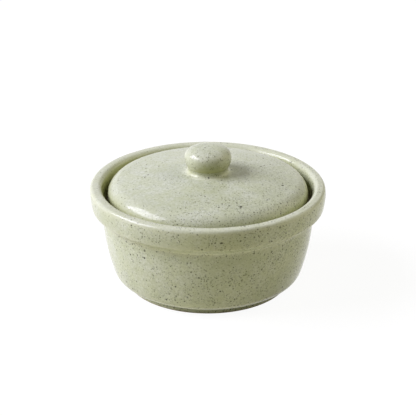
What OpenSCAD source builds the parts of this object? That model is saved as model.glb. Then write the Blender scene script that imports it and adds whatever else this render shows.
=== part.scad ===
// Mini casserole dish in glazed stoneware: a round bowl with a thick collar, a domed lid that
// sits on a ledge inside the collar, and a bun-shaped knob on the lid.
// Millimetres, +Z up. The origin is on the table, under the middle of the dish.

/* [Dish outside] */
// Diameter of the collar at the rim, before its edge is rounded
rim_d = 135; // [122:1:155]
// Height from the table to the rim
dish_h = 60; // [54:0.5:80]
// Height of the collar, from its lower edge to the rim
collar_h = 12.2; // [9:0.2:18]
// How much the collar leans out from its lower edge to the rim
collar_lean = 0.9; // [0:0.1:2]
// How far the collar's face swells beyond a straight one
collar_swell = 0.5; // [0:0.1:1.5]
// Radius of that swell
swell_round = 30; // [15:1:60]
// How far the rim stands out from the wall under the collar
collar_step = 6.7; // [4.5:0.1:8]
// Height of the sloped underside of the collar
collar_slope = 4.7; // [2:0.1:7]
// Rounding of the collar's lower edge
collar_round = 1.2; // [0.6:0.1:5]
// Rounding in the crease under the collar
crease_round = 1.5; // [0.5:0.1:3]
// Diameter where the wall turns under to the base
base_d = 106.7; // [100:0.1:112]
// Rounding of that turn
base_round = 7.5; // [4:0.5:12]
// Height of the fullest point of the belly
belly_z = 24; // [18:0.5:32]
// How far the belly swells beyond a straight wall
belly_swell = 2.3; // [0:0.1:3]
// Radius of the belly's curve
belly_round = 120; // [60:5:200]

/* [Foot] */
// Outside diameter of the foot ring
foot_d = 94.4; // [80:0.2:98]
// Height of the foot ring
foot_h = 3.7; // [3:0.1:5]
// Width of the foot ring
foot_w = 5; // [3:0.5:9]
// Depth of the hollow inside the foot ring
foot_hollow = 2.6; // [1:0.1:4]
// Rise of the underside from the foot ring to the wall's turn
base_rise = 0.7; // [0.2:0.1:2]
// Rounding of the foot ring's edges
foot_round = 0.8; // [0.2:0.1:1.2]

/* [Dish inside] */
// Thickness of the wall at the belly
wall_t = 7.5; // [4.5:0.1:9]
// Thickness of the floor
floor_t = 6; // [4:0.1:9]
// Rounding where the floor meets the wall
floor_round = 9; // [5:0.5:16]
// Thickness of the collar at the mouth
rim_t = 6.3; // [5:0.1:7.5]
// Rounding of the rim's outer edge
rim_round = 2; // [1:0.1:3.4]
// Rounding of the rim's inner edge
mouth_round = 3.2; // [1:0.1:3.4]
// How much the mouth narrows from the rim to the ledge
mouth_taper = 2.9; // [0.5:0.1:4]
// Depth of the lid's ledge under the rim
ledge_depth = 10; // [8:0.5:12]
// Width of the ledge
ledge_w = 6.6; // [6:0.1:8]
// Rounding of the ledge's two edges
ledge_round = 1; // [0.3:0.1:1.6]

/* [Lid] */
// How much smaller the lid is in radius than its seat
lid_gap = 0.7; // [0.5:0.1:2]
// Height of the lid from its seat to the crown of the dome
lid_h = 17.6; // [16:0.1:24]
// Thickness of the domed top
lid_t = 5; // [4:0.1:8]
// Radius of the dome
dome_round = 255; // [180:5:400]
// Rounding of the lid's rolled edge
edge_round = 8.6; // [3:0.1:9.5]
// Angle at which the lid's side draws in under that edge
edge_tuck = 19; // [0:1:38]
// Rounding where the side meets the seat
edge_under = 1.2; // [0.5:0.1:2]
// Width of the lip under the edge
lip_w = 6.5; // [5:0.1:8]
// Rounding inside the lip
lip_round = 5; // [2:0.1:8]
// Rounding of the lip's inner edge
seat_round = 1; // [0.3:0.1:1.5]

/* [Knob] */
// Diameter of the knob
knob_d = 26.9; // [24:0.1:34]
// Height of its widest point above the crown of the dome
knob_lift = 8.4; // [6.5:0.1:10]
// Radius of its underside's curve
under_round = 10.4; // [9:0.1:12]
// Fillet between its underside and the dome
neck_round = 2; // [0.6:0.1:3]
// Height of its top above its widest point
knob_crown = 6.4; // [4:0.1:10]
// Fullness of its top, where 2 is an oval and more is flatter in the middle
knob_full = 2.5; // [2:0.1:3.5]

/* [Hidden] */

glaze_colour = [0.72, 0.74, 0.63];
knob_colour = [0.70, 0.73, 0.60];
round_sides = 128;
// Largest gap between a curve and its flats, seen in the outline
flat_gap = 0.05;
shortest_side = 0.001;

// Radii and heights of the dish
rim_r = rim_d / 2;
collar_r = rim_r - collar_lean;
collar_z = dish_h - collar_h;
swell_r = (collar_r + rim_r) / 2 + collar_swell;
swell_z = (collar_z + dish_h) / 2;
crease_r = rim_r - collar_step;
crease_z = collar_z - collar_slope;
foot_r = foot_d / 2;
foot_in_r = foot_r - foot_w;
base_r = base_d / 2;
base_z = foot_h + base_rise;
belly_share = (belly_z - base_z) / (crease_z - base_z);
belly_r = base_r + (crease_r - base_r) * belly_share + belly_swell;
floor_r = base_r - wall_t;
floor_z = foot_hollow + floor_t;
mouth_r = rim_r - rim_t;
seat_r = mouth_r - mouth_taper;
ledge_r = seat_r - ledge_w;
ledge_z = dish_h - ledge_depth;

// Radii and heights of the lid, whose dome is part of a sphere about dome_z
lid_r = seat_r - lid_gap;
lip_r = lid_r - lip_w;
crown_z = ledge_z + lid_h;
dome_z = crown_z - dome_round;
ceiling_round = dome_round - lid_t;

// The knob's underside is part of a ring about under_centre; a fillet about neck_centre joins it to the dome
knob_r = knob_d / 2;
knob_z = crown_z + knob_lift;
under_centre = [knob_r - under_round, knob_z];
neck_centre = beside([0, dome_z], dome_round + neck_round, under_centre, under_round + neck_round);

// Lid and knob meet on a flat land, where the fillet ends on the underside
to_neck = neck_centre - under_centre;
under_angle = atan2(to_neck[1], to_neck[0]);
land_z = knob_z + under_round * sin(under_angle);

// Height of a point at radius r that lies a given reach from the dome's centre
function touch_z(reach, r) = dome_z + sqrt(reach * reach - r * r);

// Angle, from level, at which that point lies from the dome's centre
function touch_angle(reach, r) = acos(r / reach);

// The place to the right of two centres that lies a given reach from each
function beside(first, first_reach, second, second_reach) =
    let (gap = second - first)
    let (ahead = unit(gap))
    let (along = (pow(first_reach, 2) - pow(second_reach, 2) + gap * gap) / (2 * norm(gap)))
    first + ahead * along + [ahead[1], -ahead[0]] * sqrt(pow(first_reach, 2) - pow(along, 2));

// Flats that follow an arc closely enough
function flats(radius, turn) =
    max(2, ceil(abs(turn) / (2 * acos(1 - flat_gap / max(radius, flat_gap)))));

// Sine or cosine raised to a power, with its sign kept
function eased(value, power) = sign(value) * pow(abs(value), power);

// Points of an oval arc, as corners with no rounding; a fullness above 2 squares it up
function full_oval(centre, wide, tall, from, to, full) =
    let (steps = flats(max(wide, tall), to - from))
    [
        for (i = [0 : steps])
            let (angle = from + (to - from) * i / steps)
            [centre[0] + wide * eased(cos(angle), 2 / full), centre[1] + tall * eased(sin(angle), 2 / full), 0]
    ];

function arc(centre, radius, from, to) = full_oval(centre, radius, radius, from, to, 2);

// Outlines are closed lists of corners [radius, height, rounding]
function corner(path, i) = path[(i + len(path)) % len(path)];
function place(path, i) = [corner(path, i)[0], corner(path, i)[1]];
function side(path, i) = norm(place(path, i + 1) - place(path, i));
function unit(v) = v / norm(v);

// Half of the angle between the two sides at a corner
function half_angle(path, i) =
    let (back = unit(place(path, i - 1) - place(path, i)))
    let (ahead = unit(place(path, i + 1) - place(path, i)))
    acos(max(-1, min(1, back * ahead))) / 2;

// Length of side that a corner's rounding asks for, and the share its sides can give
function wanted(path, i) =
    let (radius = corner(path, i)[2])
    radius == 0 ? 0 : radius / tan(half_angle(path, i));
function share(path, i) = min(
    1,
    side(path, i - 1) / (wanted(path, i - 1) + wanted(path, i)),
    side(path, i) / (wanted(path, i) + wanted(path, i + 1))
);

// The tangent arc at one corner, or the bare corner
function fillet(path, i) =
    let (here = place(path, i))
    wanted(path, i) == 0 ? [here] :
    let (length = wanted(path, i) * share(path, i))
    let (radius = length * tan(half_angle(path, i)))
    let (back = unit(place(path, i - 1) - here))
    let (ahead = unit(place(path, i + 1) - here))
    let (centre = here + unit(back + ahead) * norm([length, radius]))
    let (first = here + back * length - centre)
    let (last = here + ahead * length - centre)
    let (from = atan2(first[1], first[0]))
    let (turn = (atan2(last[1], last[0]) - from + 540) % 360 - 180)
    arc(centre, radius, from, from + turn);

// The whole outline, with one point where two arcs share an end
function rounded(path) =
    let (points = [for (i = [0 : len(path) - 1]) each fillet(path, i)])
    let (flat = [for (point = points) [point[0], point[1]]])
    [for (i = [0 : len(flat) - 1]) if (side(flat, i) > shortest_side) flat[i]];

// From the hollow under the base, up the outside, over the rim and down to the floor
dish_outline = [
    [0, foot_hollow, 0],
    [foot_in_r, foot_hollow, foot_round],
    [foot_in_r, 0, foot_round],
    [foot_r, 0, foot_round],
    [foot_r, foot_h, foot_round],
    [base_r, base_z, base_round],
    [belly_r, belly_z, belly_round],
    [crease_r, crease_z, crease_round],
    [collar_r, collar_z, collar_round],
    [swell_r, swell_z, swell_round],
    [rim_r, dish_h, rim_round],
    [mouth_r, dish_h, mouth_round],
    [seat_r, ledge_z, ledge_round],
    [ledge_r, ledge_z, ledge_round],
    [belly_r - wall_t, belly_z, belly_round],
    [floor_r, floor_z, floor_round],
    [0, floor_z, 0]
];

neck_angle = touch_angle(dome_round + neck_round, neck_centre[0]);
edge_angle = touch_angle(dome_round - edge_round, lid_r - edge_round);
lip_angle = touch_angle(ceiling_round - lip_round, lip_r - lip_round);
edge_centre = [lid_r - edge_round, touch_z(dome_round - edge_round, lid_r - edge_round)];
// The side draws in by less where the edge would reach down to the seat
tuck = min(edge_tuck, asin(min(1, (edge_centre[1] - ledge_z - edge_under) / edge_round)));
side_end = edge_centre + edge_round * [cos(tuck), -sin(tuck)];
side_r = side_end[0] - (side_end[1] - ledge_z) * tan(tuck);
lip_centre = [lip_r - lip_round, touch_z(ceiling_round - lip_round, lip_r - lip_round)];

// From the land, down the fillet, over the dome and rolled edge, and back under the dome
lid_outline = concat(
    [[0, land_z, 0]],
    arc(neck_centre, neck_round, 180 + under_angle, 180 + neck_angle),
    arc([0, dome_z], dome_round, neck_angle, edge_angle),
    arc(edge_centre, edge_round, edge_angle, -tuck),
    [[side_r, ledge_z, edge_under]],
    [[lip_r, ledge_z, seat_round]],
    arc(lip_centre, lip_round, 0, lip_angle),
    arc([0, dome_z], ceiling_round, lip_angle, 90)
);

// From the land, out round the underside and over the crown
knob_outline = concat(
    [[0, land_z, 0]],
    arc(under_centre, under_round, under_angle, 0),
    full_oval([0, knob_z], knob_r, knob_crown, 0, 90, knob_full)
);

module turned(outline, colour) {
    color(colour)
        rotate_extrude($fn = round_sides)
            polygon(rounded(outline));
}

module dish_body() {
    turned(dish_outline, glaze_colour);
}

module lid() {
    turned(lid_outline, glaze_colour);
}

module lid_knob() {
    turned(knob_outline, knob_colour);
}

dish_body();
lid();
lid_knob();
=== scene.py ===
"""Looks of the mini casserole dish: speckled sage-green glaze on stoneware, on a white table.

Each of the three pieces is turned about the upright axis from the outline of the CAD solid that it stands
for. It has finer steps than the solid, the slight unevenness of a pot finished by hand, and its glaze.
Outlines are in millimetres. Meshes, lamps and the camera are in metres.
"""

import math

import bpy
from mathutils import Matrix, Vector, noise


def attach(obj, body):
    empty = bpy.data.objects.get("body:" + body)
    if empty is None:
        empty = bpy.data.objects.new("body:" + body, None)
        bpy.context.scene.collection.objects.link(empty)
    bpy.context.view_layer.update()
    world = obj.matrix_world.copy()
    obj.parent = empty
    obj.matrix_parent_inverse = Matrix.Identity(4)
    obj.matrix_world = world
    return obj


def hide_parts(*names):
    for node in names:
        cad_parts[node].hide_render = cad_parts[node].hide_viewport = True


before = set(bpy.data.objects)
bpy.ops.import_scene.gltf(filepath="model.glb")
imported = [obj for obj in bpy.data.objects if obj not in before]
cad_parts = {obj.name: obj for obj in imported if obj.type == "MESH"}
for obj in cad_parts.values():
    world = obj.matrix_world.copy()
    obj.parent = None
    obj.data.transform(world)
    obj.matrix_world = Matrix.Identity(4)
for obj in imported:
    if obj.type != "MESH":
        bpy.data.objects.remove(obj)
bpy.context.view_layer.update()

MM = 0.001

# Dish, outside
RIM_R = 67.5
DISH_H = 60.0
RIM_ROUND = 2.0
COLLAR_H = 12.2
COLLAR_LEAN = 0.9
COLLAR_SWELL = 0.5
SWELL_ROUND = 30.0
COLLAR_STEP = 6.7
COLLAR_SLOPE = 4.7
COLLAR_ROUND = 1.2
CREASE_ROUND = 1.5
BASE_R = 53.35
BASE_RISE = 0.7
BASE_ROUND = 7.5
BELLY_Z = 24.0
BELLY_SWELL = 2.3
BELLY_ROUND = 120.0

# Foot ring
FOOT_R = 47.2
FOOT_W = 5.0
FOOT_H = 3.7
FOOT_HOLLOW = 2.6
FOOT_ROUND = 0.8

# Dish, inside
WALL_T = 7.5
FLOOR_T = 6.0
FLOOR_ROUND = 9.0
RIM_T = 6.3
MOUTH_ROUND = 3.2
MOUTH_TAPER = 2.9
LEDGE_DEPTH = 10.0
LEDGE_W = 6.6
LEDGE_ROUND = 1.0

# Lid
LID_GAP = 0.7
LID_H = 17.6
LID_T = 5.0
DOME_ROUND = 255.0
EDGE_ROUND = 8.6
EDGE_TUCK = 19.0
EDGE_UNDER = 1.2
LIP_W = 6.5
LIP_ROUND = 5.0
SEAT_ROUND = 1.0

# Knob
KNOB_R = 13.45
KNOB_LIFT = 8.4
KNOB_CROWN = 6.4
KNOB_FULL = 2.5
UNDER_ROUND = 10.4
NECK_ROUND = 2.0

# Places on the dish, which follow from these sizes
COLLAR_R = RIM_R - COLLAR_LEAN
COLLAR_Z = DISH_H - COLLAR_H
SWELL_R = (COLLAR_R + RIM_R) / 2 + COLLAR_SWELL
SWELL_Z = (COLLAR_Z + DISH_H) / 2
CREASE_R = RIM_R - COLLAR_STEP
CREASE_Z = COLLAR_Z - COLLAR_SLOPE
FOOT_IN_R = FOOT_R - FOOT_W
BASE_Z = FOOT_H + BASE_RISE
BELLY_R = BASE_R + (CREASE_R - BASE_R) * (BELLY_Z - BASE_Z) / (CREASE_Z - BASE_Z) + BELLY_SWELL
FLOOR_R = BASE_R - WALL_T
FLOOR_Z = FOOT_HOLLOW + FLOOR_T
MOUTH_R = RIM_R - RIM_T
SEAT_R = MOUTH_R - MOUTH_TAPER
LEDGE_R = SEAT_R - LEDGE_W
LEDGE_Z = DISH_H - LEDGE_DEPTH

# Places on the lid, whose dome is part of a sphere about DOME_Z
LID_R = SEAT_R - LID_GAP
LIP_R = LID_R - LIP_W
CROWN_Z = LEDGE_Z + LID_H
DOME_Z = CROWN_Z - DOME_ROUND
CEILING_ROUND = DOME_ROUND - LID_T

# Places on the knob, whose underside is part of a ring about UNDER
KNOB_Z = CROWN_Z + KNOB_LIFT
UNDER = Vector((KNOB_R - UNDER_ROUND, KNOB_Z))


def dome_height(reach, radius):
    """Height of a point at a radius that lies a given reach from the dome's centre."""
    return DOME_Z + math.sqrt(reach * reach - radius * radius)


def dome_angle(reach, radius):
    """Angle in degrees, from level, at which that point lies from the dome's centre."""
    return math.degrees(math.acos(radius / reach))


def beside(first, first_reach, second, second_reach):
    """The place to the right of two centres that lies a given reach from each."""
    gap = second - first
    ahead = gap.normalized()
    along = (first_reach ** 2 - second_reach ** 2 + gap.length_squared) / (2 * gap.length)
    return first + ahead * along + Vector((ahead.y, -ahead.x)) * math.sqrt(first_reach ** 2 - along ** 2)


# Fillet between the dome and the knob's underside, which ends on the flat land where lid and knob meet
NECK = beside(Vector((0, DOME_Z)), DOME_ROUND + NECK_ROUND, UNDER, UNDER_ROUND + NECK_ROUND)
UNDER_ANGLE = math.degrees(math.atan2(NECK.y - UNDER.y, NECK.x - UNDER.x))
LAND_Z = KNOB_Z + UNDER_ROUND * math.sin(math.radians(UNDER_ANGLE))

# Fineness of the turned pieces
SEGMENTS = 256
LONGEST_SIDE = 1.1
WIDEST_TURN = math.radians(8)
SAME_PLACE = 1e-4

# Unevenness of a pot finished by hand, which fades towards where it rests, and the rim's wear on the right
UNEVEN = 0.16
UNEVEN_SIZE = 26.0
HELD_REACH = 3.0
RIM_WEAR = 0.6
RIM_WEAR_REACH = 4.5
RIM_WEAR_FULL = 0.5

# Glaze is thin on edges, and creases are painted paler as pooled glaze and painted highlight: how far these
# reach, and the rounding that shows in full
GLAZE_REACH = 1.6
GLAZE_ROUND = 4.0

# Ways round the axis, in degrees from the right
RIGHT = 0
LEFT = 180
COLLAR_WAY = -88
BASE_WAY = -40
KNOB_WAY = -85

# Borders between the stretches of a piece that have a coat of their own
MOUTH_FROM_R = LEDGE_R - 0.5
MOUTH_FROM_Z = LEDGE_Z - 1.5
COLLAR_FROM_R = MOUTH_R + 1.0
BASE_FROM_R = FOOT_R + 1.0
CROWN_FROM_Z = CROWN_Z - 4.0
SEAT_FROM_R = LIP_R - 0.5

# Olive painted shade: its share, more of it one way round, and how it fades with height
# Painted shade: olive inside the mouth below the rim, more on the left side
MOUTH_SHADE = 0.35
MOUTH_SHADE_LEFT = 0.65
MOUTH_FADE = 2.8
# Painted shade: olive on the collar's front
COLLAR_SHADE = 0.4
COLLAR_NARROW = 16
COLLAR_FADE_FROM = DISH_H - 0.5
COLLAR_FADE_TO = DISH_H - 3.0
# Painted shade: olive low on the wall above the base, towards the front right
BASE_SHADE = 0.6
BASE_FADE = 5.0
# Painted shade: olive round the knob's base and low on the lid's rolled edge, by the gap
NECK_SHADE = 0.4
ROLL_SHADE = 0.7
ROLL_FADE_FROM = LEDGE_Z + 11.0
ROLL_FADE_TO = LEDGE_Z + 5.0
# Painted shade: olive on the knob's underside, deepest and highest up in front
KNOB_SHADE = 0.2
KNOB_SHADE_FRONT = 0.8
KNOB_FADE_FROM = KNOB_Z - 0.5
KNOB_FADE_RISE = 4.5
KNOB_FADE_TO = LAND_Z + 1.0

# Bare clay, as the height where it starts and the height where it is whole
FOOT_BARE = (1.3, 0.2)
LEDGE_BARE = (LEDGE_Z + 1.0, LEDGE_Z)
SEAT_BARE = (LEDGE_Z + 1.5, LEDGE_Z + 0.5)


# Outlines, as points (radius, height)

def eased(value, full):
    """Sine or cosine for an oval of a given fullness, with its sign kept."""
    return math.copysign(abs(value) ** (2 / full), value)


def oval(centre, wide, tall, start, end, full=2.0):
    """Points along an oval arc between two angles in degrees; a fullness above 2 squares it up."""
    start, end = math.radians(start), math.radians(end)
    turn = abs(end - start)
    steps = max(2, math.ceil(turn * max(wide, tall) / LONGEST_SIDE), math.ceil(turn / WIDEST_TURN))
    angles = [start + (end - start) * i / steps for i in range(steps + 1)]
    return [
        Vector((centre[0] + wide * eased(math.cos(a), full), centre[1] + tall * eased(math.sin(a), full)))
        for a in angles
    ]


def arc(centre, radius, start, end):
    return oval(centre, radius, radius, start, end)


def rounded(corners):
    """A closed outline through corners (radius, height, rounding); tight roundings share a short side."""
    count = len(corners)
    places = [Vector(corner[:2]) for corner in corners]
    backs = [(places[i - 1] - places[i]).normalized() for i in range(count)]
    aheads = [(places[(i + 1) % count] - places[i]).normalized() for i in range(count)]
    sides = [(places[(i + 1) % count] - places[i]).length for i in range(count)]
    slopes = [math.tan(backs[i].angle(aheads[i]) / 2) for i in range(count)]
    wanted = [corners[i][2] / slopes[i] for i in range(count)]
    points = []
    for i in range(count):
        if wanted[i] == 0:
            points.append(places[i])
            continue
        share = min(
            1,
            sides[i - 1] / (wanted[i - 1] + wanted[i]),
            sides[i] / (wanted[i] + wanted[(i + 1) % count]),
        )
        length = wanted[i] * share
        radius = length * slopes[i]
        centre = places[i] + (backs[i] + aheads[i]).normalized() * math.hypot(length, radius)
        first = places[i] + backs[i] * length - centre
        last = places[i] + aheads[i] * length - centre
        start = math.degrees(math.atan2(first.y, first.x))
        turn = (math.degrees(math.atan2(last.y, last.x)) - start + 180) % 360 - 180
        points += arc(centre, radius, start, start + turn)
    return points


def evened(points):
    """The same outline without doubled points, and with its long sides divided."""
    result = [points[0]]
    for point in points[1:]:
        side = point - result[-1]
        if side.length < SAME_PLACE:
            continue
        parts = math.ceil(side.length / LONGEST_SIDE)
        last = result[-1]
        result += [last + side * (i / parts) for i in range(1, parts + 1)]
    return result


def dish_outline():
    """From the hollow under the base, up the outside, over the rim and down to the floor."""
    return evened(rounded([
        (0, FOOT_HOLLOW, 0),
        (FOOT_IN_R, FOOT_HOLLOW, FOOT_ROUND),
        (FOOT_IN_R, 0, FOOT_ROUND),
        (FOOT_R, 0, FOOT_ROUND),
        (FOOT_R, FOOT_H, FOOT_ROUND),
        (BASE_R, BASE_Z, BASE_ROUND),
        (BELLY_R, BELLY_Z, BELLY_ROUND),
        (CREASE_R, CREASE_Z, CREASE_ROUND),
        (COLLAR_R, COLLAR_Z, COLLAR_ROUND),
        (SWELL_R, SWELL_Z, SWELL_ROUND),
        (RIM_R, DISH_H, RIM_ROUND),
        (MOUTH_R, DISH_H, MOUTH_ROUND),
        (SEAT_R, LEDGE_Z, LEDGE_ROUND),
        (LEDGE_R, LEDGE_Z, LEDGE_ROUND),
        (BELLY_R - WALL_T, BELLY_Z, BELLY_ROUND),
        (FLOOR_R, FLOOR_Z, FLOOR_ROUND),
        (0, FLOOR_Z, 0),
    ]))


def lid_outline():
    """From the ceiling under the dome, round the lip and rolled edge, over the dome and up the fillet."""
    neck_angle = dome_angle(DOME_ROUND + NECK_ROUND, NECK.x)
    edge = (LID_R - EDGE_ROUND, dome_height(DOME_ROUND - EDGE_ROUND, LID_R - EDGE_ROUND))
    edge_angle = dome_angle(DOME_ROUND - EDGE_ROUND, edge[0])
    roll = arc(edge, EDGE_ROUND, -EDGE_TUCK, edge_angle)
    side_r = roll[0].x - (roll[0].y - LEDGE_Z) * math.tan(math.radians(EDGE_TUCK))
    lip = (LIP_R - LIP_ROUND, dome_height(CEILING_ROUND - LIP_ROUND, LIP_R - LIP_ROUND))
    lip_angle = dome_angle(CEILING_ROUND - LIP_ROUND, lip[0])
    seat = rounded([
        (LIP_R, lip[1], 0),
        (LIP_R, LEDGE_Z, SEAT_ROUND),
        (side_r, LEDGE_Z, EDGE_UNDER),
        (*roll[0], 0),
    ])
    return evened(
        arc((0, DOME_Z), CEILING_ROUND, 90, lip_angle)
        + arc(lip, LIP_ROUND, lip_angle, 0)
        + seat
        + roll
        + arc((0, DOME_Z), DOME_ROUND, edge_angle, neck_angle)
        + arc(NECK, NECK_ROUND, 180 + neck_angle, 180 + UNDER_ANGLE)
        + [Vector((0, LAND_Z))]
    )


def knob_outline():
    """From the land, out round the underside and over the crown."""
    return evened(
        [Vector((0, LAND_Z))]
        + arc(UNDER, UNDER_ROUND, UNDER_ANGLE, 0)
        + oval((0, KNOB_Z), KNOB_R, KNOB_CROWN, 0, 90, KNOB_FULL)
    )


# Turned pieces

def bends(points):
    """How sharply the outline bends near each point, per millimetre: above 0 on edges, below in creases."""
    turns = [0.0] * len(points)
    along = [0.0] * len(points)
    for i in range(1, len(points)):
        along[i] = along[i - 1] + (points[i] - points[i - 1]).length
    for i in range(1, len(points) - 1):
        back, ahead = points[i] - points[i - 1], points[i + 1] - points[i]
        turns[i] = math.atan2(back.x * ahead.y - back.y * ahead.x, back.dot(ahead))
    result = []
    for here in along:
        weights = [max(0.0, 1 - abs(there - here) / (2 * GLAZE_REACH)) for there in along]
        result.append(sum(w * t for w, t in zip(weights, turns)) / (2 * GLAZE_REACH))
    return result


def faces_out(points, i):
    """The direction that the outline faces at one of its points."""
    along = points[min(i + 1, len(points) - 1)] - points[max(i - 1, 0)]
    return Vector((along.y, -along.x)).normalized()


def ramp(value, start, end):
    """0 at the start, 1 at the end, and straight between them."""
    return min(1.0, max(0.0, (value - start) / (end - start)))


def facing(angle, way):
    """1 on the side that faces a way, in degrees from the right, down to 0 a quarter turn from it."""
    return max(0.0, math.cos(angle - math.radians(way)))


def dish_coat(point, angle):
    """Shares, 0 to 1, of olive painted shade and of bare clay at a place on the dish."""
    if point.y < FOOT_HOLLOW:
        return 0.0, ramp(point.y, *FOOT_BARE)
    in_mouth = MOUTH_FROM_R < point.x < COLLAR_FROM_R and point.y > MOUTH_FROM_Z
    if in_mouth:
        # painted shade inside the mouth, more on the left side
        share = MOUTH_SHADE + MOUTH_SHADE_LEFT * facing(angle, LEFT)
        return share * ramp(point.y, DISH_H, DISH_H - MOUTH_FADE), ramp(point.y, *LEDGE_BARE)
    on_collar = point.x > COLLAR_FROM_R and point.y > COLLAR_Z
    if on_collar:
        # painted shade on the collar's front
        share = COLLAR_SHADE * facing(angle, COLLAR_WAY) ** COLLAR_NARROW
        return share * ramp(point.y, COLLAR_FADE_FROM, COLLAR_FADE_TO), 0.0
    on_base = point.x > BASE_FROM_R
    # painted shade low on the wall, towards the front right
    share = BASE_SHADE * facing(angle, BASE_WAY) * on_base
    return share * ramp(point.y, BASE_Z + BASE_FADE, BASE_Z), 0.0


def lid_coat(point, angle):
    """The same for the lid: painted shade under its rolled edge and round the knob, bare on its seat."""
    on_crown = point.y > CROWN_FROM_Z
    if on_crown:
        # painted shade round the knob's base
        return NECK_SHADE * ramp(point.x, NECK.x, NECK.x - NECK_ROUND), 0.0
    on_seat = point.x > SEAT_FROM_R
    # painted shade low on the rolled edge, beside the gap
    return ROLL_SHADE * ramp(point.y, ROLL_FADE_FROM, ROLL_FADE_TO), ramp(point.y, *SEAT_BARE) * on_seat


def knob_coat(point, angle):
    """The same for the knob: painted shade on its underside, reaching highest up in front."""
    front = facing(angle, KNOB_WAY) ** 2
    # painted shade on the knob's underside, more towards the front
    share = KNOB_SHADE + KNOB_SHADE_FRONT * front
    return share * ramp(point.y, KNOB_FADE_FROM + KNOB_FADE_RISE * front, KNOB_FADE_TO), 0.0


def no_wear(point, angle):
    return 0.0


def softer_rim(point, angle):
    """How much more the rim's outer edge is rounded on the right than on the left, in millimetres."""
    reach = (point - Vector((RIM_R, DISH_H))).length
    return RIM_WEAR * ramp(reach, RIM_WEAR_REACH, RIM_WEAR_FULL) * facing(angle, RIGHT) ** 2


def unevenness(point, angle, depth, seed):
    """How far a place lies inside the true outline, from 0 to the given depth."""
    side = Vector((point.x * math.cos(angle), point.x * math.sin(angle), point.y + seed))
    return depth * (0.5 + 0.5 * noise.noise(side / UNEVEN_SIZE))


def skin(rings):
    """Faces between rings of vertex numbers, where a ring of one is a point on the axis."""
    faces = []
    for lower, upper in zip(rings, rings[1:]):
        for k in range(SEGMENTS):
            after = (k + 1) % SEGMENTS
            if len(lower) == 1:
                faces.append((lower[0], upper[after], upper[k]))
            elif len(upper) == 1:
                faces.append((lower[k], lower[after], upper[0]))
            else:
                faces.append((lower[k], lower[after], upper[after], upper[k]))
    return faces


def turned(name, points, resting_heights, coat, seed, wear=no_wear):
    """A piece turned from its outline, a little uneven except where it rests, with its coats of glaze, bare
    clay, painted highlight and painted shade.
    """
    places, rings = [], []
    coats = {"glaze_thin": [], "glaze_pool_and_highlight": [], "painted_shade": [], "bare_clay": []}
    for i, (point, bend) in enumerate(zip(points, bends(points))):
        outward = faces_out(points, i)
        held = min(abs(point.y - height) for height in resting_heights)
        depth = UNEVEN * min(1.0, held / HELD_REACH)
        count = SEGMENTS if point.x > SAME_PLACE else 1
        rings.append(range(len(places), len(places) + count))
        for k in range(count):
            angle = math.tau * k / SEGMENTS
            inward = unevenness(point, angle, depth, seed) + wear(point, angle)
            place = point - outward * inward if count > 1 else point
            places.append((place.x * math.cos(angle) * MM, place.x * math.sin(angle) * MM, place.y * MM))
            shade_share, bare = coat(point, angle)
            coats["glaze_thin"].append(ramp(bend, 0, 1 / GLAZE_ROUND))
            # creases: paler pooled glaze with a painted highlight
            coats["glaze_pool_and_highlight"].append(ramp(-bend, 0, 1 / GLAZE_ROUND))
            # share of olive painted shade
            coats["painted_shade"].append(shade_share)
            coats["bare_clay"].append(bare)
    mesh = bpy.data.meshes.new(name)
    mesh.from_pydata(places, [], skin(rings))
    for label, values in coats.items():
        mesh.attributes.new(label, "FLOAT", "POINT").data.foreach_set("value", values)
    mesh.shade_smooth()
    piece = bpy.data.objects.new(name, mesh)
    bpy.context.scene.collection.objects.link(piece)
    return piece


# Materials

# Sockets of a Mix node that mixes colours
MIX_A, MIX_B, MIX_RESULT = 6, 7, 2


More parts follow.
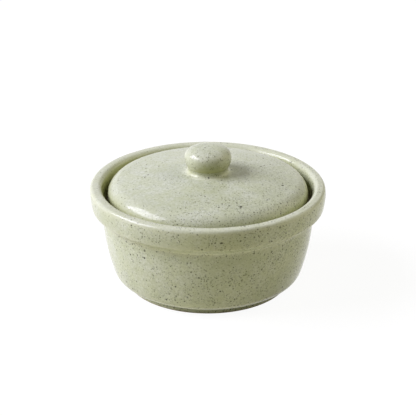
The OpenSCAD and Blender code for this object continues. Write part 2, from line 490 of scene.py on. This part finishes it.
class Shading:
    """One material's nodes. Most methods add nodes and give back the output that the next one takes."""

    def __init__(self, name):
        self.material = bpy.data.materials.new(name)
        self.material.use_nodes = True
        self.tree = self.material.node_tree
        self.tree.nodes.clear()

    def node(self, kind, inputs, **settings):
        node = self.tree.nodes.new(kind)
        for label, value in settings.items():
            setattr(node, label, value)
        for label, value in inputs.items():
            if isinstance(value, bpy.types.NodeSocket):
                self.tree.links.new(value, node.inputs[label])
            else:
                node.inputs[label].default_value = value
        return node

    def math(self, operation, a, b, c=0.0):
        return self.node("ShaderNodeMath", {0: a, 1: b, 2: c}, operation=operation).outputs[0]

    def between(self, value, low, high, start=0.0, end=1.0):
        """Start where the value is below low, end where it is above high, and an eased change between."""
        node = self.node(
            "ShaderNodeMapRange",
            {"Value": value, "From Min": low, "From Max": high, "To Min": start, "To Max": end},
            interpolation_type="SMOOTHSTEP",
        )
        return node.outputs["Result"]

    def mix(self, share, a, b):
        """Colour a with a share of colour b."""
        node = self.node("ShaderNodeMix", {0: share}, data_type="RGBA")
        for index, colour in ((MIX_A, a), (MIX_B, b)):
            if isinstance(colour, bpy.types.NodeSocket):
                self.tree.links.new(colour, node.inputs[index])
            else:
                node.inputs[index].default_value = (*colour, 1)
        return node.outputs[MIX_RESULT]

    def millimetres(self, offset=(0, 0, 0)):
        """Place on the piece itself, in millimetres."""
        place = self.node("ShaderNodeTexCoord", {}).outputs["Object"]
        scaled = self.node("ShaderNodeVectorMath", {0: place, "Scale": 1 / MM}, operation="SCALE")
        moved = self.node("ShaderNodeVectorMath", {0: scaled.outputs[0], 1: offset}, operation="ADD")
        return moved.outputs[0]

    def cloud(self, place, size, detail=3.0, rough=0.55):
        """Soft noise from about 0.2 to 0.8 with features of a given size."""
        node = self.node(
            "ShaderNodeTexNoise",
            {"Vector": place, "Scale": 1 / size, "Detail": detail, "Roughness": rough},
        )
        return node.outputs[0]

    def shaken(self, place, size, amount):
        """The place, moved about by noise, so that round marks come out irregular."""
        shake = self.node("ShaderNodeTexNoise", {"Vector": place, "Scale": 1 / size, "Detail": 1.0})
        centred = self.node(
            "ShaderNodeVectorMath", {0: shake.outputs["Color"], 1: (0.5, 0.5, 0.5)}, operation="SUBTRACT"
        )
        added = self.node(
            "ShaderNodeVectorMath",
            {0: centred.outputs[0], 1: (amount, amount, amount), 2: place},
            operation="MULTIPLY_ADD",
        )
        return added.outputs[0]

    def attribute(self, label):
        return self.node("ShaderNodeAttribute", {}, attribute_name=label).outputs["Fac"]

    def specks(self, place, cell, radius, kept):
        """Strength, 0 to 1, of specks: at most one to a cell, in the kept share of the cells."""
        cells = self.node("ShaderNodeTexVoronoi", {"Vector": place, "Scale": 1 / cell})
        chance = self.node("ShaderNodeSeparateColor", {0: cells.outputs["Color"]}).outputs
        there = self.math("LESS_THAN", chance[0], kept)
        largest = radius / cell
        smallest = SMALLEST_SPECK * largest
        size = self.math("MULTIPLY_ADD", chance[1], largest - smallest, smallest)
        inside = self.math("SUBTRACT", size, cells.outputs["Distance"])
        edge = self.between(inside, 0.0, SPECK_BLUR / cell)
        strength = self.math("MULTIPLY_ADD", chance[2], 1 - FAINTEST_SPECK, FAINTEST_SPECK)
        return self.math("MULTIPLY", self.math("MULTIPLY", edge, strength), there)

    def finish(self, surface):
        self.node("ShaderNodeOutputMaterial", {"Surface": surface})
        return self.material


# Colours of the glaze and clay
SAGE = (0.605, 0.634, 0.474)
GREY_SAGE = (0.638, 0.663, 0.562)
DEEP_SAGE = (0.42, 0.45, 0.28)
# colour of the painted shade
SHADE_OLIVE = (0.37, 0.38, 0.13)
# paler glaze on edges, and the painted highlight in creases
PALE_SAGE = (0.725, 0.73, 0.57)
SPECK = (0.045, 0.045, 0.022)
FAINT_SPECK = (0.15, 0.155, 0.09)
BARE_CLAY = (0.42, 0.35, 0.24)
CLAY_GRAIN = (0.29, 0.22, 0.14)

# Sizes of what varies in the glaze
CLOUD_SIZE = 8.0
DRIFT_SIZE = 26.0
GRAIN_SIZE = 1.3
SHEEN_SIZE = 4.0
RIPPLE_SIZE = 5.0
BORDER_SIZE = 6.0
CLAY_GRAIN_SIZE = 0.8

# Bands of the noise, over which one look gives way to another
SOFT_BAND = (0.3, 0.7)
MIDDLE_BAND = (0.35, 0.65)
FIRM_BAND = (0.38, 0.62)
CLAY_GRAIN_BAND = (0.4, 0.7)
BORDER_BAND = (0.42, 0.58)
BORDER_WAVER = 0.8

# Shares of the deeper and paler glaze, of the paler creases with painted highlight, and of the olive
# painted shade, where there is most of each
DRIFT_SHARE = 0.34
GRAIN_SHARE = 0.75
EDGE_SHARE = 0.35
CREASE_SHARE = 0.4
PAINTED_SHADE_SHARE = 0.8

# Gloss of the glaze, and of the clay beside it
GLAZE_IOR = 1.36
SMOOTHEST = 0.14
ROUGHEST = 0.20
CLAY_ROUGHER = 0.5
RIPPLE_STRENGTH = 0.15
RIPPLE_DEPTH = 0.2

# Fine, dark and large specks, each with the width of its cells, its radius, its strength and its colour
SPECK_KINDS = ((1.05, 0.56, 0.8, FAINT_SPECK), (1.9, 0.72, 0.9, SPECK), (6.0, 1.0, 1.0, SPECK))

# Shares of that radius and strength in the least of the specks, and their soft, shaken edges
SMALLEST_SPECK = 0.5
FAINTEST_SPECK = 0.4
SPECK_BLUR = 0.25
SPECK_SHAKE = 0.7
SPECK_SHAKE_SIZE = 0.9

# Crowding of the specks: in drifts, from few to many along a line to the lower front right, and on edges
CROWD_SIZE = 18.0
CROWD_LEAST, CROWD_MOST = 0.35, 1.5
SPECKS_TOWARDS = (1.1, -0.6, -0.8)
FEW_AT, FEW = -100.0, 0.25
MANY_AT, MANY = 40.0, 1.4
EDGE_FROM = 0.75
SPECKS_ON_EDGE = 0.2


def glaze_colour(shading, place):
    """Clouded sage glaze, paler on edges, paler in creases as pooled glaze with painted highlight, and
    olive as painted shade.
    """
    clouds = shading.between(shading.cloud(place, CLOUD_SIZE, detail=4.0), *FIRM_BAND)
    drifts = shading.between(shading.cloud(place, DRIFT_SIZE, detail=2.0), *MIDDLE_BAND, 0.0, DRIFT_SHARE)
    grain = shading.between(shading.cloud(place, GRAIN_SIZE, rough=0.7), *SOFT_BAND, 0.0, GRAIN_SHARE)
    colour = shading.mix(clouds, SAGE, GREY_SAGE)
    colour = shading.mix(drifts, colour, DEEP_SAGE)
    colour = shading.mix(grain, colour, DEEP_SAGE)
    coats = (
        ("glaze_thin", EDGE_SHARE, PALE_SAGE),
        # creases: paler pooled glaze and painted highlight
        ("glaze_pool_and_highlight", CREASE_SHARE, PALE_SAGE),
        # olive painted shade
        ("painted_shade", PAINTED_SHADE_SHARE, SHADE_OLIVE),
    )
    for label, share, tint in coats:
        colour = shading.mix(shading.math("MULTIPLY", shading.attribute(label), share), colour, tint)
    return colour


def crowding(shading, place):
    """How crowded the specks are: more in drifts and towards one side, and few on a thin edge."""
    patches = shading.cloud(place, CROWD_SIZE, detail=2.0)
    drifts = shading.between(patches, *MIDDLE_BAND, CROWD_LEAST, CROWD_MOST)
    along = shading.node(
        "ShaderNodeVectorMath", {0: shading.millimetres(), 1: SPECKS_TOWARDS}, operation="DOT_PRODUCT"
    )
    one_side = shading.between(along.outputs["Value"], FEW_AT, MANY_AT, FEW, MANY)
    on_edge = shading.between(shading.attribute("glaze_thin"), EDGE_FROM, 1.0, 1.0, SPECKS_ON_EDGE)
    return shading.math("MULTIPLY", shading.math("MULTIPLY", drifts, one_side), on_edge)


def speckled(shading, colour, place, speckling):
    """The colour with specks of each kind, in the given shares of their cells."""
    shaken = shading.shaken(place, SPECK_SHAKE_SIZE, SPECK_SHAKE)
    crowded = crowding(shading, place)
    for share, (cell, radius, strength, tint) in zip(speckling, SPECK_KINDS):
        specks = shading.specks(shaken, cell, radius, shading.math("MULTIPLY", crowded, share))
        colour = shading.mix(shading.math("MULTIPLY", specks, strength), colour, tint)
    return colour


def bare_share(shading, place):
    """Share of bare clay: 0 or 1, with a narrow wavering border."""
    border = shading.cloud(place, BORDER_SIZE, detail=2.0)
    wavering = shading.math("MULTIPLY_ADD", border, BORDER_WAVER, -BORDER_WAVER / 2)
    return shading.between(shading.math("ADD", shading.attribute("bare_clay"), wavering), *BORDER_BAND)


def glaze(name, speckling, offset):
    """Speckled gloss glaze, and bare clay where it was wiped off, with the noise moved by an offset."""
    shading = Shading(name)
    place = shading.millimetres(offset)
    colour = speckled(shading, glaze_colour(shading, place), place, speckling)
    rough = shading.between(shading.cloud(place, SHEEN_SIZE), *SOFT_BAND, SMOOTHEST, ROUGHEST)
    ripples = shading.cloud(place, RIPPLE_SIZE, detail=2.0)
    bump = shading.node(
        "ShaderNodeBump", {"Height": ripples, "Strength": RIPPLE_STRENGTH, "Distance": RIPPLE_DEPTH * MM}
    )
    bare = bare_share(shading, place)
    clay_grain = shading.between(shading.cloud(place, CLAY_GRAIN_SIZE), *CLAY_GRAIN_BAND)
    clay = shading.mix(clay_grain, BARE_CLAY, CLAY_GRAIN)
    surface = shading.node(
        "ShaderNodeBsdfPrincipled",
        {
            "Base Color": shading.mix(bare, colour, clay),
            "Roughness": shading.math("MULTIPLY_ADD", bare, CLAY_ROUGHER, rough),
            "Normal": bump.outputs["Normal"],
            "IOR": GLAZE_IOR,
        },
    )
    return shading.finish(surface.outputs[0])


# Table and light
TABLE_SIZE = 8.0
TABLE_COLOUR = (0.76, 0.74, 0.52)
TABLE_PATCH = 0.98
TABLE_PATCH_SIZE = 120.0
SHADOW_SHARE = 0.10
TABLE_GLOW = 0.935
KEY_FROM = Vector((-0.787, -0.041, 0.616))
KEY_DISTANCE = 2.4
KEY_SIZE = (1.78, 1.23)
KEY_WATTS = 80.0
KEY_COLOUR = (1.0, 0.99, 1.15)
FILL_FROM = Vector((0.80, 0.12, 0.58))
FILL_DISTANCE = 1.05
FILL_SIZE = (0.9, 0.75)
FILL_WATTS = 4.2
FILL_COLOUR = (1.0, 0.96, 0.74)
AMBIENT = (0.039, 0.035, 0.011)


def seen_directly(tree):
    """1 for rays from the camera or a mirror-like surface, which show the white surroundings; else 0."""
    rays = tree.nodes.new("ShaderNodeLightPath").outputs
    total = rays["Is Camera Ray"]
    for label in ("Is Glossy Ray", "Is Transmission Ray"):
        either = tree.nodes.new("ShaderNodeMath")
        either.operation = "MAXIMUM"
        tree.links.new(total, either.inputs[0])
        tree.links.new(rays[label], either.inputs[1])
        total = either.outputs[0]
    return total


def table_paint():
    """Plain pale table that reads white to the camera and keeps a soft shadow."""
    shading = Shading("table_paint")
    place = shading.millimetres()
    patches = shading.cloud(place, TABLE_PATCH_SIZE)
    patchy = shading.mix(patches, TABLE_COLOUR, [TABLE_PATCH * c for c in TABLE_COLOUR])
    lit = shading.node("ShaderNodeBsdfDiffuse", {"Color": patchy})
    faint = shading.node("ShaderNodeBsdfDiffuse", {"Color": (SHADOW_SHARE,) * 3 + (1,)})
    glow = shading.node("ShaderNodeEmission", {"Color": (1, 1, 1, 1), "Strength": TABLE_GLOW})
    shown = shading.node("ShaderNodeAddShader", {0: faint.outputs[0], 1: glow.outputs[0]})
    both = shading.node(
        "ShaderNodeMixShader",
        {0: seen_directly(shading.tree), 1: lit.outputs[0], 2: shown.outputs[0]},
    )
    return shading.finish(both.outputs[0])


def make_table():
    half = TABLE_SIZE / 2
    mesh = bpy.data.meshes.new("table")
    corners = [(-half, -half, 0), (half, -half, 0), (half, half, 0), (-half, half, 0)]
    mesh.from_pydata(corners, [], [(0, 1, 2, 3)])
    mesh.materials.append(table_paint())
    table = bpy.data.objects.new("table", mesh)
    bpy.context.scene.collection.objects.link(table)


def make_soft_box(name, way, distance, size, watts, colour):
    lamp = bpy.data.lights.new(name, "AREA")
    lamp.shape = "RECTANGLE"
    lamp.size, lamp.size_y = size
    lamp.energy = watts
    lamp.color = colour
    box = bpy.data.objects.new(name, lamp)
    box.location = way.normalized() * distance
    box.rotation_euler = (-box.location).to_track_quat("-Z", "Y").to_euler()
    bpy.context.scene.collection.objects.link(box)


def make_light():
    """A soft box on the left, a weak warm one on the right, and even light from all round."""
    make_soft_box("key", KEY_FROM, KEY_DISTANCE, KEY_SIZE, KEY_WATTS, KEY_COLOUR)
    make_soft_box("fill", FILL_FROM, FILL_DISTANCE, FILL_SIZE, FILL_WATTS, FILL_COLOUR)

    world = bpy.data.worlds.new("studio")
    world.use_nodes = True
    tree = world.node_tree
    tree.nodes.clear()
    surround = tree.nodes.new("ShaderNodeMix")
    surround.data_type = "RGBA"
    surround.inputs[MIX_A].default_value = (*AMBIENT, 1)
    surround.inputs[MIX_B].default_value = (1, 1, 1, 1)
    background = tree.nodes.new("ShaderNodeBackground")
    output = tree.nodes.new("ShaderNodeOutputWorld")
    tree.links.new(seen_directly(tree), surround.inputs[0])
    tree.links.new(surround.outputs[MIX_RESULT], background.inputs["Color"])
    tree.links.new(background.outputs[0], output.inputs["Surface"])
    bpy.context.scene.world = world


# Camera, as found from the outline in the photograph
FRAME_PX = 416
FOCAL_PX = 1470.3
SENSOR_MM = 36.0
VIEW_ELEVATION = math.radians(23.77)
VIEW_DISTANCE = 0.85
VIEW_TARGET = Vector((0, 0, 0.040))
TARGET_BELOW_MIDDLE_PX = 6.64


def make_camera():
    lens = bpy.data.cameras.new("camera")
    lens.sensor_width = SENSOR_MM
    lens.lens = SENSOR_MM * FOCAL_PX / FRAME_PX
    lens.shift_y = TARGET_BELOW_MIDDLE_PX / FRAME_PX
    camera = bpy.data.objects.new("camera", lens)
    towards = Vector((0, -math.cos(VIEW_ELEVATION), math.sin(VIEW_ELEVATION)))
    camera.location = VIEW_TARGET + towards * VIEW_DISTANCE
    camera.rotation_euler = (-towards).to_track_quat("-Z", "Y").to_euler()
    bpy.context.scene.collection.objects.link(camera)
    bpy.context.scene.camera = camera


def place_piece(piece, body, node, material):
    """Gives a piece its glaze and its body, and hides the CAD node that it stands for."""
    piece.data.materials.append(material)
    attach(piece, body)
    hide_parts(node)


# Shares of the cells with a fine, a dark and a large speck, and each piece's own stretch of noise
DISH_SPECKLING = (0.8, 0.58, 0.32)
LID_SPECKLING = (0.95, 0.28, 0.12)
DISH_OFFSET = (0, 0, 300)
LID_OFFSET = (0, 0, 200)
DISH_SEED, LID_SEED, KNOB_SEED = 0, 90, 180


def make_casserole():
    """The dish, the lid and its knob, each in place of its CAD node."""
    dish = turned("glazed_dish", dish_outline(), (0, LEDGE_Z), dish_coat, DISH_SEED, softer_rim)
    lid = turned("glazed_lid", lid_outline(), (LEDGE_Z, LAND_Z), lid_coat, LID_SEED)
    knob = turned("glazed_knob", knob_outline(), (LAND_Z,), knob_coat, KNOB_SEED)
    on_dish = glaze("dish_glaze", DISH_SPECKLING, DISH_OFFSET)
    on_lid = glaze("lid_glaze", LID_SPECKLING, LID_OFFSET)
    place_piece(dish, "dish", "dish_body", on_dish)
    place_piece(lid, "lid", "lid", on_lid)
    place_piece(knob, "lid", "lid_knob", on_lid)


make_casserole()
make_table()
make_light()
make_camera()
bpy.context.scene.view_settings.view_transform = "Standard"
